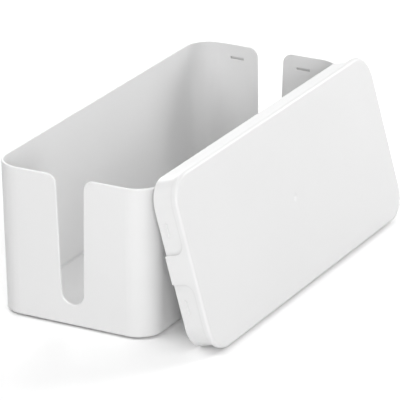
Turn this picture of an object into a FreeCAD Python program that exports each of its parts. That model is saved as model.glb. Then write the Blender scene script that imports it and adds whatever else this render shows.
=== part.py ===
"""A cable management box: an open tub with a cable slot in each short end, a lift-off lid and four feet.

Millimetres, +Z up. The origin lies under the middle of the tub, on the surface that the box stands on.
X runs along the box. The lid is off the tub and leans on its long wall on the -Y side.
"""
import FreeCAD, Part
import os
import math
import Sketcher
from FreeCAD import Placement, Rotation, Vector

os.makedirs("parts", exist_ok=True)
doc = FreeCAD.newDocument("cable_box")

# The driving dimensions, with what each one measures.
sheet = doc.addObject("Spreadsheet::Sheet", "sizes")
DIMENSIONS = (
    ("rim_length", 330.0, "outer length of the tub at its rim"),
    ("rim_width", 136.5, "outer width of the tub at its rim"),
    ("rim_height", 120.8, "height of the rim above the surface that the box stands on"),
    ("rim_corner", 22.3, "outer corner radius at the rim"),
    ("wall", 2.0, "thickness of the tub's walls"),
    ("base_thickness", 1.2, "thickness of the tub's base"),
    ("stand_off", 1.7, "gap under the tub"),
    ("draft_angle", 1.4, "slope of every moulded wall, in degrees"),
    ("inner_fillet", 0.6, "radius between the walls and the base inside the tub"),
    ("base_fillet", 0.8, "radius round the tub's underside"),
    ("edge_radius", 0.4, "radius along the tub's inner edges and the lid's lower edge"),
    ("rim_radius", 1.0, "radius along the outer edge of the rim and the cable slots"),
    ("slot_rim_width", 23.7, "width of a cable slot at the rim"),
    ("slot_floor_width", 19.0, "width of a cable slot where its round bottom starts"),
    ("slot_floor_height", 18.3, "height of a cable slot's lowest point"),
    ("slot_corner", 8.0, "radius where a cable slot meets the rim"),
    ("catch_length", 12.0, "length of a catch recess in an end wall"),
    ("catch_height", 2.0, "height of a catch recess"),
    ("catch_depth", 1.3, "depth of a catch recess"),
    ("catch_drop", 10.9, "middle of a catch recess below the rim"),
    ("catch_offset", 30.2, "middle of a catch recess from the box's centre line"),
    ("band_height", 4.9, "height of the lid's outer band above the rim"),
    ("band_radius", 2.5, "radius round the lid's outer face"),
    ("plate_thickness", 2.2, "thickness of the lid's plate"),
    ("skirt_depth", 17.4, "depth of the lid's skirt below the band"),
    ("skirt_wall", 2.0, "thickness of the lid's skirt"),
    ("skirt_clearance", 0.2, "gap between the skirt and the tub's wall when the lid is on"),
    ("tab_clearance", 0.35, "gap between an end tab and the sides of its slot"),
    ("ridge_length", 11.0, "length of a snap ridge"),
    ("ridge_height", 1.5, "height of a snap ridge along the skirt"),
    ("ridge_stand", 0.7, "how far a snap ridge stands out of the skirt"),
    ("ridge_radius", 0.5, "rounding of a snap ridge"),
    ("dimple_diameter", 7.0, "diameter of the shallow dished dimple in the middle of the lid"),
    ("dimple_depth", 0.5, "depth of that dimple"),
    ("dimple_radius", 2.0, "rounding of that dimple's edge"),
    ("lean_angle", 15.7, "angle between the leaning lid and the vertical, in degrees"),
    ("lean_shift", 1.5, "how far the leaning lid stands off the tub's middle, towards -X"),
    ("lean_dip", 0.7, "how far the leaning lid's skirt dips past the rim's line at its round corners"),
    ("foot_diameter", 12.0, "diameter of a foot"),
    ("foot_recess", 0.5, "depth of the seat that a foot sits in"),
    ("foot_clearance", 0.15, "gap round a foot in its seat"),
    ("foot_radius", 0.4, "rounding of a foot's lower edge"),
    ("foot_inset", 20.0, "middle of a foot from the edges of the tub's underside"),
    ("overrun", 5.0, "how far a cut runs past the face that it opens"),
)
for row, (alias, value, meaning) in enumerate(DIMENSIONS, start=1):
    sheet.set("A%d" % row, alias)
    sheet.set("B%d" % row, str(value))
    sheet.set("C%d" % row, meaning)
    sheet.setAlias("B%d" % row, alias)
doc.recompute()

# Sizes that follow from the sheet, written as expressions.
SLOPE = "tan(sizes.draft_angle)"
UNDERSIDE = "sizes.stand_off"
INNER_FLOOR = "(sizes.stand_off + sizes.base_thickness)"
TUB_DROP = "((sizes.rim_height - sizes.stand_off) * %s)" % SLOPE
INNER_DROP = "((sizes.rim_height - %s) * %s)" % (INNER_FLOOR, SLOPE)
SKIRT_INSET = "(sizes.wall + sizes.skirt_clearance)"
SKIRT_DROP = "(sizes.skirt_depth * %s)" % SLOPE
HOLLOW_TOP = "(sizes.band_height - sizes.plate_thickness)"
HOLLOW_INSET = "(%s + sizes.skirt_wall)" % SKIRT_INSET
SLOT_CENTRE = "(sizes.slot_floor_height + sizes.slot_floor_width / 2)"
PICK_SHARE = 0.1
TOLERANCE = sheet.edge_radius * PICK_SHARE


def size(expression):
    """The number that an expression in the sheet's sizes gives."""
    return float(sheet.evalExpression(expression.replace("sizes.", "")))


def new_body(label):
    body = doc.addObject("PartDesign::Body", label)
    body.Label = label
    return body


def sketch_on(body, name, plane, height="0"):
    """A sketch on one of the body's own origin planes, moved along the plane's normal."""
    sketch = body.newObject("Sketcher::SketchObject", name)
    support = [item for item in body.Origin.OriginFeatures if item.Role == plane][0]
    sketch.AttachmentSupport = [(support, "")]
    sketch.MapMode = "FlatFace"
    if height != "0":
        sketch.setExpression("AttachmentOffset.Base.z", height)
    return sketch


def dimension(sketch, constraint, expression):
    """Adds a sketch dimension and ties it to an expression."""
    index = sketch.addConstraint(constraint)
    sketch.setExpression("Constraints[%d]" % index, expression)
    return index


def rounded_rectangle(sketch, inset):
    """The rim's outline drawn inwards by an inset, with the corner radius drawn in alike."""
    half_length = "(sizes.rim_length / 2 - %s)" % inset
    half_width = "(sizes.rim_width / 2 - %s)" % inset
    radius = "(sizes.rim_corner - %s)" % inset
    a, b, r = size(half_length), size(half_width), size(radius)
    corners = ((a - r, b - r, 0), (r - a, b - r, 90), (r - a, r - b, 180), (a - r, r - b, 270))
    arcs = []
    for x, y, start in corners:
        circle = Part.Circle(Vector(x, y, 0), Vector(0, 0, 1), r)
        quarter = Part.ArcOfCircle(circle, math.radians(start), math.radians(start + 90))
        arcs.append(sketch.addGeometry(quarter, False))
    sides = []
    for here, there in zip(arcs, arcs[1:] + arcs[:1]):
        line = Part.LineSegment(sketch.getPoint(here, 2), sketch.getPoint(there, 1))
        sides.append(sketch.addGeometry(line, False))
    for here, there, side in zip(arcs, arcs[1:] + arcs[:1], sides):
        sketch.addConstraint(Sketcher.Constraint("Tangent", here, 2, side, 1))
        sketch.addConstraint(Sketcher.Constraint("Tangent", side, 2, there, 1))
    for index, side in enumerate(sides):
        kind = "Horizontal" if index % 2 == 0 else "Vertical"
        sketch.addConstraint(Sketcher.Constraint(kind, side))
    for arc in arcs[1:]:
        sketch.addConstraint(Sketcher.Constraint("Equal", arcs[0], arc))
    top, left, bottom, right = sides
    dimension(sketch, Sketcher.Constraint("DistanceX", -1, 1, right, 1, a), half_length)
    dimension(sketch, Sketcher.Constraint("DistanceX", left, 1, -1, 1, a), half_length)
    dimension(sketch, Sketcher.Constraint("DistanceY", -1, 1, top, 1, b), half_width)
    dimension(sketch, Sketcher.Constraint("DistanceY", bottom, 1, -1, 1, b), half_width)
    dimension(sketch, Sketcher.Constraint("Radius", arcs[0], r), radius)


def polygon(sketch, corners):
    """A closed outline of straight sides. Each corner is a pair of expressions measured from the origin."""
    points = [Vector(size(x), size(y), 0) for x, y in corners]
    lines = []
    for here, there in zip(points, points[1:] + points[:1]):
        lines.append(sketch.addGeometry(Part.LineSegment(here, there), False))
    for here, there in zip(lines, lines[1:] + lines[:1]):
        sketch.addConstraint(Sketcher.Constraint("Coincident", here, 2, there, 1))
    for line, point, (x, y) in zip(lines, points, corners):
        place(sketch, "DistanceX", line, 1, point.x, x)
        place(sketch, "DistanceY", line, 1, point.y, y)


def place(sketch, kind, geometry, end, value, expression):
    """Fixes one coordinate of a point, on the side of the axis that the value is on."""
    if value < 0:
        constraint = Sketcher.Constraint(kind, geometry, end, -1, 1, -value)
        dimension(sketch, constraint, "-(%s)" % expression)
    else:
        constraint = Sketcher.Constraint(kind, -1, 1, geometry, end, value)
        dimension(sketch, constraint, expression)


def circle(sketch, x, y, radius):
    """A circle whose middle and radius are expressions."""
    shape = Part.Circle(Vector(size(x), size(y), 0), Vector(0, 0, 1), size(radius))
    index = sketch.addGeometry(shape, False)
    place(sketch, "DistanceX", index, 3, size(x), x)
    place(sketch, "DistanceY", index, 3, size(y), y)
    dimension(sketch, Sketcher.Constraint("Radius", index, size(radius)), radius)


def loft(body, kind, name, upper, lower):
    """A straight-sided loft from an upper outline to a lower one of the same body."""
    doc.recompute()
    feature = body.newObject(kind, name)
    feature.Profile = upper
    feature.Sections = [lower]
    feature.Ruled = True
    doc.recompute()
    return feature


def extrude(body, kind, name, sketch, length, both_ways=False, reverse=False):
    """A pad or pocket of a given length, one way or evenly both ways from its sketch."""
    feature = body.newObject(kind, name)
    feature.Profile = sketch
    feature.Midplane = both_ways
    feature.Reversed = reverse
    feature.setExpression("Length", length)
    doc.recompute()
    return feature


def fillet(body, name, base, picks, radius):
    """Rounds the edges of the base feature that a test picks."""
    names = []
    for number, edge in enumerate(base.Shape.Edges, start=1):
        if picks(edge):
            names.append("Edge%d" % number)
    feature = body.newObject("PartDesign::Fillet", name)
    feature.Base = (base, names)
    feature.setExpression("Radius", radius)
    doc.recompute()
    return feature


def near(value, target):
    return abs(value - target) < TOLERANCE


def flat_at(edge, height):
    """True for an edge that lies in the level plane at a height."""
    box = edge.BoundBox
    return near(box.ZMin, height) and near(box.ZMax, height)


def runs_along_x(edge):
    box = edge.BoundBox
    return near(box.YLength, 0) and near(box.ZLength, 0)


def build_tub():
    """The open box: a drafted shell with a U-shaped cable slot in each end wall."""
    body = new_body("tub")
    rim = sketch_on(body, "tub_rim_outline", "XY_Plane", "sizes.rim_height")
    rounded_rectangle(rim, "0")
    underside = sketch_on(body, "tub_underside_outline", "XY_Plane", UNDERSIDE)
    rounded_rectangle(underside, TUB_DROP)
    outside = loft(body, "PartDesign::AdditiveLoft", "tub_outside", rim, underside)
    fillet(body, "tub_base_round", outside, lambda edge: flat_at(edge, sheet.stand_off), "sizes.base_fillet")

    mouth = sketch_on(body, "tub_mouth_outline", "XY_Plane", "sizes.rim_height")
    rounded_rectangle(mouth, "sizes.wall")
    floor = sketch_on(body, "tub_floor_outline", "XY_Plane", INNER_FLOOR)
    rounded_rectangle(floor, "(sizes.wall + %s)" % INNER_DROP)
    inside = loft(body, "PartDesign::SubtractiveLoft", "tub_inside", mouth, floor)
    floor_height = size(INNER_FLOOR)
    fillet(body, "tub_floor_round", inside, lambda edge: flat_at(edge, floor_height), "sizes.inner_fillet")

    cut_slots(body)
    cut_catches(body)
    seats = cut_foot_seats(body)
    body.Tip = round_rim(body, seats, inside.AddSubShape)
    return body


def cut_slots(body):
    """One U-shaped cut along the whole tub opens a slot in both end walls."""
    sketch = sketch_on(body, "slot_outline", "YZ_Plane")
    half_top, half_low = "(sizes.slot_rim_width / 2)", "(sizes.slot_floor_width / 2)"
    top = "(sizes.rim_height + sizes.overrun)"
    taper = "(%s + (%s - %s) * (%s - %s) / (sizes.rim_height - %s))" % (
        half_low, half_top, half_low, top, SLOT_CENTRE, SLOT_CENTRE)
    w, r, z, c = size(taper), size(half_low), size(top), size(SLOT_CENTRE)
    round_end = Part.ArcOfCircle(Part.Circle(Vector(0, c, 0), Vector(0, 0, 1), r), -math.pi, 0)
    bottom = sketch.addGeometry(round_end, False)
    right = sketch.addGeometry(Part.LineSegment(Vector(r, c, 0), Vector(w, z, 0)), False)
    across = sketch.addGeometry(Part.LineSegment(Vector(w, z, 0), Vector(-w, z, 0)), False)
    left = sketch.addGeometry(Part.LineSegment(Vector(-w, z, 0), Vector(-r, c, 0)), False)
    for here, there in ((right, across), (across, left)):
        sketch.addConstraint(Sketcher.Constraint("Coincident", here, 2, there, 1))
    sketch.addConstraint(Sketcher.Constraint("Tangent", bottom, 2, right, 1))
    sketch.addConstraint(Sketcher.Constraint("Tangent", left, 2, bottom, 1))
    sketch.addConstraint(Sketcher.Constraint("PointOnObject", bottom, 3, -2))
    sketch.addConstraint(Sketcher.Constraint("Symmetric", across, 1, across, 2, -2))
    dimension(sketch, Sketcher.Constraint("Radius", bottom, r), half_low)
    place(sketch, "DistanceY", bottom, 3, c, SLOT_CENTRE)
    place(sketch, "DistanceY", across, 1, z, top)
    place(sketch, "DistanceX", across, 1, w, taper)
    cut = extrude(body, "PartDesign::Pocket", "slots", sketch,
                  "sizes.rim_length + 2 * sizes.overrun", both_ways=True)
    half_width = sheet.slot_rim_width / 2
    return fillet(body, "slot_corners", cut,
                  lambda edge: runs_along_x(edge) and near(edge.BoundBox.ZMax, sheet.rim_height) and
                  near(abs(edge.BoundBox.YMax), half_width), "sizes.slot_corner")


def cut_catches(body):
    """Four blind recesses inside the end walls, which the lid's snap ridges click into."""
    sketch = sketch_on(body, "catch_outline", "YZ_Plane")
    low = "(sizes.rim_height - sizes.catch_drop - sizes.catch_height / 2)"
    high = "(sizes.rim_height - sizes.catch_drop + sizes.catch_height / 2)"
    for side in ("", "-"):
        inner = "%s(sizes.catch_offset - sizes.catch_length / 2)" % side
        outer = "%s(sizes.catch_offset + sizes.catch_length / 2)" % side
        polygon(sketch, ((inner, low), (outer, low), (outer, high), (inner, high)))
    reach = "(sizes.rim_length / 2 - sizes.wall - sizes.catch_drop * %s + sizes.catch_depth)" % SLOPE
    return extrude(body, "PartDesign::Pocket", "catches", sketch, "2 * %s" % reach, both_ways=True)


FOOT_X = "(sizes.rim_length / 2 - %s - sizes.foot_inset)" % TUB_DROP
FOOT_Y = "(sizes.rim_width / 2 - %s - sizes.foot_inset)" % TUB_DROP


def cut_foot_seats(body):
    """Four round seats in the underside."""
    sketch = sketch_on(body, "foot_seat_outline", "XY_Plane", UNDERSIDE)
    for side_x in ("", "-"):
        for side_y in ("", "-"):
            circle(sketch, side_x + FOOT_X, side_y + FOOT_Y,
                   "(sizes.foot_diameter / 2 + sizes.foot_clearance)")
    return extrude(body, "PartDesign::Pocket", "foot_seats", sketch, "sizes.foot_recess", reverse=True)


def round_rim(body, base, cavity):
    """Rounds the edges along the rim and down round both slots, more on the outside than inside."""
    half_slot = sheet.slot_rim_width / 2 + sheet.slot_corner
    end = sheet.rim_length / 2 - sheet.wall - size(TUB_DROP)

    def on_edge(edge):
        box = edge.BoundBox
        if runs_along_x(edge) and edge.Length < sheet.wall + sheet.edge_radius:
            return False
        if near(box.ZMin, sheet.rim_height):
            return True
        at_slot = max(abs(box.YMin), abs(box.YMax)) < half_slot + TOLERANCE
        at_end = min(abs(box.XMin), abs(box.XMax)) > end
        return at_slot and at_end and box.ZMin > sheet.slot_floor_height - TOLERANCE

    def on_cavity(edge):
        middle = edge.valueAt((edge.FirstParameter + edge.LastParameter) / 2)
        return near(cavity.distToShape(Part.Vertex(middle))[0], 0)
    outer = fillet(body, "rim_outer_round", base,
                   lambda edge: on_edge(edge) and not on_cavity(edge), "sizes.rim_radius")
    return fillet(body, "rim_inner_round", outer,
                  lambda edge: on_edge(edge) and on_cavity(edge), "sizes.edge_radius")


def build_lid():
    """The lid, drawn flat with its seat on the rim at height zero, then leaned on the tub's long wall."""
    body = new_body("lid")
    outline = sketch_on(body, "band_outline", "XY_Plane")
    rounded_rectangle(outline, "0")
    extrude(body, "PartDesign::Pad", "band", outline, "sizes.band_height")
    add_tab_bar(body)

    skirt_top = sketch_on(body, "skirt_top_outline", "XY_Plane", HOLLOW_TOP)
    rounded_rectangle(skirt_top, "(%s - %s * %s)" % (SKIRT_INSET, HOLLOW_TOP, SLOPE))
    skirt_end = sketch_on(body, "skirt_end_outline", "XY_Plane", "-sizes.skirt_depth")
    rounded_rectangle(skirt_end, "(%s + %s)" % (SKIRT_INSET, SKIRT_DROP))
    loft(body, "PartDesign::AdditiveLoft", "skirt", skirt_top, skirt_end)
    add_ridges(body)

    hollow_top = sketch_on(body, "hollow_top_outline", "XY_Plane", HOLLOW_TOP)
    rounded_rectangle(hollow_top, "(%s - %s * %s)" % (HOLLOW_INSET, HOLLOW_TOP, SLOPE))
    hollow_end = sketch_on(body, "hollow_end_outline", "XY_Plane", "-sizes.skirt_depth")
    rounded_rectangle(hollow_end, "(%s + %s)" % (HOLLOW_INSET, SKIRT_DROP))
    hollow = loft(body, "PartDesign::SubtractiveLoft", "hollow", hollow_top, hollow_end)

    face_round = fillet(body, "face_round", hollow,
                        lambda edge: flat_at(edge, sheet.band_height), "sizes.band_radius")
    end_round = fillet(body, "skirt_end_round", face_round,
                       lambda edge: flat_at(edge, -sheet.skirt_depth), "sizes.edge_radius")
    body.Tip = cut_dimple(body, end_round)
    lean(body)
    return body


def cut_dimple(body, base):
    """A shallow dish in the middle of the face, where a large ball cuts it, with a softened edge."""
    radius = "(((sizes.dimple_diameter / 2) ^ 2 + sizes.dimple_depth ^ 2) / (2 * sizes.dimple_depth))"
    body.Tip = base
    ball = body.newObject("PartDesign::SubtractiveSphere", "dimple")
    ball.setExpression("Radius", radius)
    ball.setExpression("Placement.Base.z", "sizes.band_height - sizes.dimple_depth + %s" % radius)
    doc.recompute()
    return fillet(body, "dimple_round", ball,
                  lambda edge: flat_at(edge, sheet.band_height) and
                  near(edge.BoundBox.XLength, sheet.dimple_diameter), "sizes.dimple_radius")


def add_tab_bar(body):
    """The tabs that close the tops of the slots, cut from one bar whose ends follow the tub's draft."""
    half_top = "(sizes.slot_rim_width / 2 - sizes.tab_clearance)"
    flare = "((sizes.slot_rim_width - sizes.slot_floor_width) / 2)"
    narrowing = "(%s / (sizes.rim_height - %s))" % (flare, SLOT_CENTRE)
    half_end = "(%s - sizes.skirt_depth * %s)" % (half_top, narrowing)
    sketch = sketch_on(body, "tab_outline", "YZ_Plane")
    polygon(sketch, (("-%s" % half_end, "-sizes.skirt_depth"), (half_end, "-sizes.skirt_depth"),
                     (half_top, "0"), ("-%s" % half_top, "0")))
    bar = extrude(body, "PartDesign::Pad", "tab_bar", sketch, "sizes.rim_length", both_ways=True)
    fillet(body, "tab_corners", bar,
           lambda edge: runs_along_x(edge) and near(edge.BoundBox.ZMax, 0) and
           near(abs(edge.BoundBox.YMax), size(half_top)),
           "(sizes.slot_corner + sizes.tab_clearance)")
    wedge = sketch_on(body, "tab_draft_outline", "XZ_Plane")
    below = "(sizes.skirt_depth + sizes.overrun)"
    for side in ("", "-"):
        polygon(wedge, (("%s(sizes.rim_length / 2)" % side, "0"),
                        ("%s(sizes.rim_length / 2 + sizes.overrun)" % side, "0"),
                        ("%s(sizes.rim_length / 2 + sizes.overrun)" % side, "-%s" % below),
                        ("%s(sizes.rim_length / 2 - %s * %s)" % (side, below, SLOPE), "-%s" % below)))
    return extrude(body, "PartDesign::Pocket", "tab_draft", wedge, "sizes.rim_width", both_ways=True)


def add_ridges(body):
    """Four rounded ridges on the skirt's ends, level with the tub's catch recesses."""
    sketch = sketch_on(body, "ridge_outline", "YZ_Plane")
    low = "-(sizes.catch_drop + sizes.ridge_height / 2)"
    high = "-(sizes.catch_drop - sizes.ridge_height / 2)"
    for side in ("", "-"):
        inner = "%s(sizes.catch_offset - sizes.ridge_length / 2)" % side
        outer = "%s(sizes.catch_offset + sizes.ridge_length / 2)" % side
        polygon(sketch, ((inner, low), (outer, low), (outer, high), (inner, high)))
    reach = "(sizes.rim_length / 2 - %s - sizes.catch_drop * %s + sizes.ridge_stand)" % (SKIRT_INSET, SLOPE)
    ridges = extrude(body, "PartDesign::Pad", "ridges", sketch, "2 * %s" % reach, both_ways=True)
    tip = size(reach)

    def at_tip(edge):
        box = edge.BoundBox
        return near(abs(box.XMin), tip) and near(abs(box.XMax), tip)
    return fillet(body, "ridge_round", ridges, at_tip, "sizes.ridge_radius")


def lean(body):
    """Stands the lid on its skirt's lower edge, with the skirt's open side just past the rim's line."""
    edge, slope = "sizes.edge_radius", "sizes.draft_angle"
    half_end = "(sizes.rim_width / 2 - %s - %s)" % (SKIRT_INSET, SKIRT_DROP)
    centre_y = "(-%s + %s * (1 - sin(%s)) / cos(%s))" % (half_end, edge, slope, slope)
    centre_z = "(%s - sizes.skirt_depth)" % edge
    rise = "(%s - %s * cos(sizes.lean_angle) - %s * sin(sizes.lean_angle))" % (edge, centre_y, centre_z)
    depth = "(sizes.skirt_depth - sizes.lean_dip)"
    contact_rise = "(sizes.rim_height + %s * sin(sizes.lean_angle) - %s)" % (depth, rise)
    along = "(%s / cos(sizes.lean_angle))" % contact_rise
    back = "(-sizes.rim_width / 2 - %s * cos(sizes.lean_angle) - %s * sin(sizes.lean_angle))" % (depth, along)
    turn = Rotation(Vector(1, 0, 0), 90 - sheet.lean_angle)
    body.Placement = Placement(Vector(0, 0, 0), turn)
    body.setExpression("Placement.Rotation.Angle", "90 - sizes.lean_angle")
    body.setExpression("Placement.Base.x", "-sizes.lean_shift")
    body.setExpression("Placement.Base.y", back)
    body.setExpression("Placement.Base.z", rise)


def build_foot(label, side_x, side_y):
    """A soft round foot seated in the tub's underside."""
    body = new_body(label)
    sketch = sketch_on(body, label + "_outline", "XY_Plane")
    circle(sketch, "0", "0", "(sizes.foot_diameter / 2)")
    disc = extrude(body, "PartDesign::Pad", label + "_disc", sketch, "(sizes.stand_off + sizes.foot_recess)")
    body.Tip = fillet(body, label + "_round", disc, lambda edge: flat_at(edge, 0), "sizes.foot_radius")
    body.setExpression("Placement.Base.x", side_x + FOOT_X)
    body.setExpression("Placement.Base.y", side_y + FOOT_Y)
    return body


bodies = [build_tub(), build_lid()]
for end_name, side_x in (("near", "-"), ("far", "")):
    for side_name, side_y in (("lid_side", "-"), ("open_side", "")):
        bodies.append(build_foot("foot_%s_%s" % (end_name, side_name), side_x, side_y))
doc.recompute()

for item in doc.Objects:
    if "Invalid" in item.State or "Error" in item.State:
        raise RuntimeError("%s is in state %s" % (item.Label, item.State))
for body in bodies:
    if body.Shape.isNull() or not body.Shape.isValid():
        raise RuntimeError("%s has no valid shape" % body.Label)
for body in bodies:
    body.Shape.exportStep("parts/%s.step" % body.Label)
    print(body.Label, len(body.Shape.Solids), round(body.Shape.Volume), body.Shape.BoundBox)
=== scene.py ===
import bpy
import math
from mathutils import Matrix, Vector

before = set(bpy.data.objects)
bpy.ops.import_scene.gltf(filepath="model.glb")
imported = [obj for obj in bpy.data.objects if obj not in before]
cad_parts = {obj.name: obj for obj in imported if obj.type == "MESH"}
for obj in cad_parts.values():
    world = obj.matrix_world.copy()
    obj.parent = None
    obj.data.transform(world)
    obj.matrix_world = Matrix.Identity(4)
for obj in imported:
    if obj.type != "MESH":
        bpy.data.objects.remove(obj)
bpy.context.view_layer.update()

# Camera, as the photo sees the box: its place in metres and its angles in degrees in the part's
# frame, its lens and sensor in millimetres, and its clipping distances in metres.
CAMERA_PLACE = (-2.2285, -1.2051, 1.0323)
CAMERA_AZIMUTH = -62.03
CAMERA_ELEVATION = 21.26
CAMERA_LENS = 312.16
CAMERA_SENSOR = 36.0
CAMERA_CLIP = (0.05, 50.0)

# Lamps: name, azimuth and elevation in degrees, side in metres and power in watts.
# Each is LAMP_DISTANCE metres from LAMP_AIM, a point inside the box, and faces it.
LAMP_DISTANCE = 2.0
LAMP_AIM = (0.0, -0.02, 0.06)
LAMPS = (
    ("key", -60, 12, 0.7, 18.0),
    ("upper_key", -60, 30, 1.0, 4.0),
    ("front_left", -40, 30, 1.0, 3.0),
    ("right_front", 60, 30, 1.0, 18.0),
    ("right", 60, 12, 0.7, 6.0),
    ("back_left", -135, 55, 1.2, 13.0),
    ("back_right", 135, 30, 1.0, 15.0),
    ("top", 0, 90, 1.2, 8.5),
)

# Floor and world. The world adds no light. The camera sees it as plain white, and sees the
# floor brighter than the floor lights the box, so that both make one white background.
FLOOR_SIDE = 40.0
FLOOR_WHITE = 0.8
FLOOR_SEEN_WHITE = 1.15
WORLD_STRENGTH = 0.0
WORLD_SEEN_STRENGTH = 1.0

# Materials: the base colour's tone and the roughness, how far a cloudy noise moves each of them
# up and down, the scales of that noise and of the grain per metre, and the grain's depth in metres.
PLASTIC = {
    "ior": 1.49, "tone": 0.80, "tone_spread": 0.012, "rough": 0.40, "rough_spread": 0.04,
    "cloud_scale": 14.0, "grain_scale": 1800.0, "grain_depth": 0.000006,
}
RUBBER = {
    "ior": 1.5, "tone": 0.12, "tone_spread": 0.03, "rough": 0.75, "rough_spread": 0.08,
    "cloud_scale": 160.0, "grain_scale": 2600.0, "grain_depth": 0.00003,
}
CLOUD_DETAIL = 3.0
GRAIN_DETAIL = 2.0

# Painted shade in the plastic's seams: how near a neighbouring face counts, in metres, the share
# of the tone that is left at the darkest, and the rays that feel for such faces.
SEAM_REACH = 0.003
SEAM_TONE = 0.65
SEAM_SAMPLES = 8

# Width and height of one cell of the grid that the nodes are laid out on.
NODE_CELL = (300, 300)


def direction(azimuth, elevation):
    """The way to a viewpoint: at azimuth 0 it lies towards -Y, and at 90 towards +X."""
    a, e = math.radians(azimuth), math.radians(elevation)
    return Vector((math.sin(a) * math.cos(e), -math.cos(a) * math.cos(e), math.sin(e)))


def make_camera():
    """The scene's camera, upright."""
    data = bpy.data.cameras.new("camera")
    data.sensor_width = CAMERA_SENSOR
    data.lens = CAMERA_LENS
    data.clip_start, data.clip_end = CAMERA_CLIP
    camera = bpy.data.objects.new("camera", data)
    bpy.context.scene.collection.objects.link(camera)
    a = math.radians(CAMERA_AZIMUTH)
    back = direction(CAMERA_AZIMUTH, CAMERA_ELEVATION)
    right = Vector((math.cos(a), math.sin(a), 0.0))
    up = back.cross(right)
    turn = Matrix((right, up, back)).transposed()
    camera.matrix_world = Matrix.Translation(CAMERA_PLACE) @ turn.to_4x4()
    bpy.context.scene.camera = camera


def make_lamp(name, azimuth, elevation, side, watts):
    """A square soft lamp that faces the box."""
    way = direction(azimuth, elevation)
    data = bpy.data.lights.new(name, "AREA")
    data.shape = "SQUARE"
    data.size = side
    data.energy = watts
    lamp = bpy.data.objects.new(name, data)
    bpy.context.scene.collection.objects.link(lamp)
    lamp.location = Vector(LAMP_AIM) + way * LAMP_DISTANCE
    lamp.rotation_mode = "QUATERNION"
    lamp.rotation_quaternion = way.to_track_quat("Z", "Y")


def node(tree, kind, column, row, **values):
    """A node in a cell of the grid, with its settings."""
    made = tree.nodes.new(kind)
    made.location = (column * NODE_CELL[0], row * NODE_CELL[1])
    for name, value in values.items():
        setattr(made, name, value)
    return made


def noise(tree, where, scale, detail, column, row):
    """A noise from 0 to 1 that is fixed to the piece."""
    made = node(tree, "ShaderNodeTexNoise", column, row)
    made.inputs["Scale"].default_value = scale
    made.inputs["Detail"].default_value = detail
    tree.links.new(where.outputs["Object"], made.inputs["Vector"])
    return made.outputs["Fac"]


def to_range(tree, value, low, high, column, row):
    """Turns a value from 0 to 1 into one from low to high."""
    made = node(tree, "ShaderNodeMapRange", column, row)
    made.inputs["To Min"].default_value = low
    made.inputs["To Max"].default_value = high
    tree.links.new(value, made.inputs["Value"])
    return made.outputs["Result"]


def spread(tree, value, middle, half_width, column, row):
    """Turns a value from 0 to 1 into one that varies by half_width to both sides of middle."""
    return to_range(tree, value, middle - half_width, middle + half_width, column, row)


def combine(tree, operation, first, second, column, row):
    """One value that a Math node makes from two."""
    made = node(tree, "ShaderNodeMath", column, row, operation=operation)
    tree.links.new(first, made.inputs[0])
    tree.links.new(second, made.inputs[1])
    return made.outputs[0]


def seam_shade(tree, column, row):
    """1 on open faces, and down to SEAM_TONE in seams and inner corners. Mixed into the colour,
    it is painted shade that stands in for the thin shadow lines that a denoised render loses there."""
    seams = node(tree, "ShaderNodeAmbientOcclusion", column, row, samples=SEAM_SAMPLES)
    seams.inputs["Distance"].default_value = SEAM_REACH
    return to_range(tree, seams.outputs["AO"], SEAM_TONE, 1.0, column + 1, row)


def make_material(name, look, shade_seams):
    """A moulded material: a fine grain, under a tone and a gloss that vary a little."""
    material = bpy.data.materials.new(name)
    material.use_nodes = True
    tree = material.node_tree
    shader = tree.nodes["Principled BSDF"]
    shader.inputs["IOR"].default_value = look["ior"]
    where = node(tree, "ShaderNodeTexCoord", -5, 0)

    cloud = noise(tree, where, look["cloud_scale"], CLOUD_DETAIL, -4, 1)
    tone = spread(tree, cloud, look["tone"], look["tone_spread"], -3, 1)
    # Painted shade: the tone darkens in seams and inner corners, where shadow lines fall.
    if shade_seams:
        tone = combine(tree, "MULTIPLY", tone, seam_shade(tree, -4, 2), -2, 1)
    colour = node(tree, "ShaderNodeCombineColor", -1, 1)
    for channel in ("Red", "Green", "Blue"):
        tree.links.new(tone, colour.inputs[channel])
    tree.links.new(colour.outputs["Color"], shader.inputs["Base Color"])

    rough = spread(tree, cloud, look["rough"], look["rough_spread"], -3, 0)
    tree.links.new(rough, shader.inputs["Roughness"])

    grain = noise(tree, where, look["grain_scale"], GRAIN_DETAIL, -4, -1)
    bump = node(tree, "ShaderNodeBump", -1, -1)
    bump.inputs["Strength"].default_value = 1.0
    bump.inputs["Distance"].default_value = look["grain_depth"]
    tree.links.new(grain, bump.inputs["Height"])
    tree.links.new(bump.outputs["Normal"], shader.inputs["Normal"])
    return material


def grey(value):
    return (value, value, value, 1.0)


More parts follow.
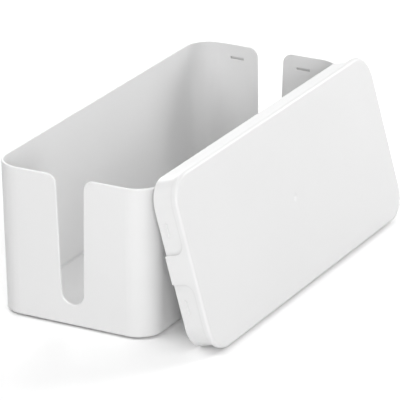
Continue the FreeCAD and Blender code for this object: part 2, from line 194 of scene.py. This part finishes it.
def mix_seen(tree, real, seen, out):
    """Ends a tree in out. The rays that show a background get seen: the camera's, and those that
    a gloss or a clear piece passes on. All others get real."""
    path = node(tree, "ShaderNodeLightPath", -3, 1)
    camera, glossy = path.outputs["Is Camera Ray"], path.outputs["Is Glossy Ray"]
    shown = combine(tree, "MAXIMUM", camera, glossy, -2, 1)
    shown = combine(tree, "MAXIMUM", shown, path.outputs["Is Transmission Ray"], -1, 1)
    mix = node(tree, "ShaderNodeMixShader", 1, 0)
    tree.links.new(shown, mix.inputs[0])
    tree.links.new(real.outputs[0], mix.inputs[1])
    tree.links.new(seen.outputs[0], mix.inputs[2])
    tree.links.new(mix.outputs[0], out.inputs[0])


def make_floor():
    """A plain white floor, which keeps the box's shadow."""
    bpy.ops.mesh.primitive_plane_add(size=FLOOR_SIDE, location=(0, 0, 0))
    floor = bpy.context.object
    floor.name = "floor"
    material = bpy.data.materials.new("floor")
    material.use_nodes = True
    tree = material.node_tree
    tree.nodes.clear()
    real = node(tree, "ShaderNodeBsdfDiffuse", 0, 0)
    real.inputs["Color"].default_value = grey(FLOOR_WHITE)
    seen = node(tree, "ShaderNodeBsdfDiffuse", 0, -1)
    seen.inputs["Color"].default_value = grey(FLOOR_SEEN_WHITE)
    mix_seen(tree, real, seen, node(tree, "ShaderNodeOutputMaterial", 2, 0))
    floor.data.materials.append(material)


def make_world():
    """A white background."""
    world = bpy.data.worlds.new("studio")
    world.use_nodes = True
    tree = world.node_tree
    tree.nodes.clear()
    real = node(tree, "ShaderNodeBackground", 0, 0)
    real.inputs["Strength"].default_value = WORLD_STRENGTH
    seen = node(tree, "ShaderNodeBackground", 0, -1)
    seen.inputs["Strength"].default_value = WORLD_SEEN_STRENGTH
    for background in (real, seen):
        background.inputs["Color"].default_value = grey(1.0)
    mix_seen(tree, real, seen, node(tree, "ShaderNodeOutputWorld", 2, 0))
    bpy.context.scene.world = world


make_camera()
make_floor()
make_world()
for name, azimuth, elevation, side, watts in LAMPS:
    make_lamp(name, azimuth, elevation, side, watts)

# A node's finish goes by the first word of its name.
finishes = {
    "tub": make_material("box_plastic", PLASTIC, True),
    "lid": make_material("lid_plastic", PLASTIC, True),
    "foot": make_material("foot_rubber", RUBBER, False),
}
for name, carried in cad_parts.items():
    for slot in carried.material_slots:
        slot.material = finishes[name.split("_")[0]]

bpy.context.scene.view_settings.view_transform = "Standard"
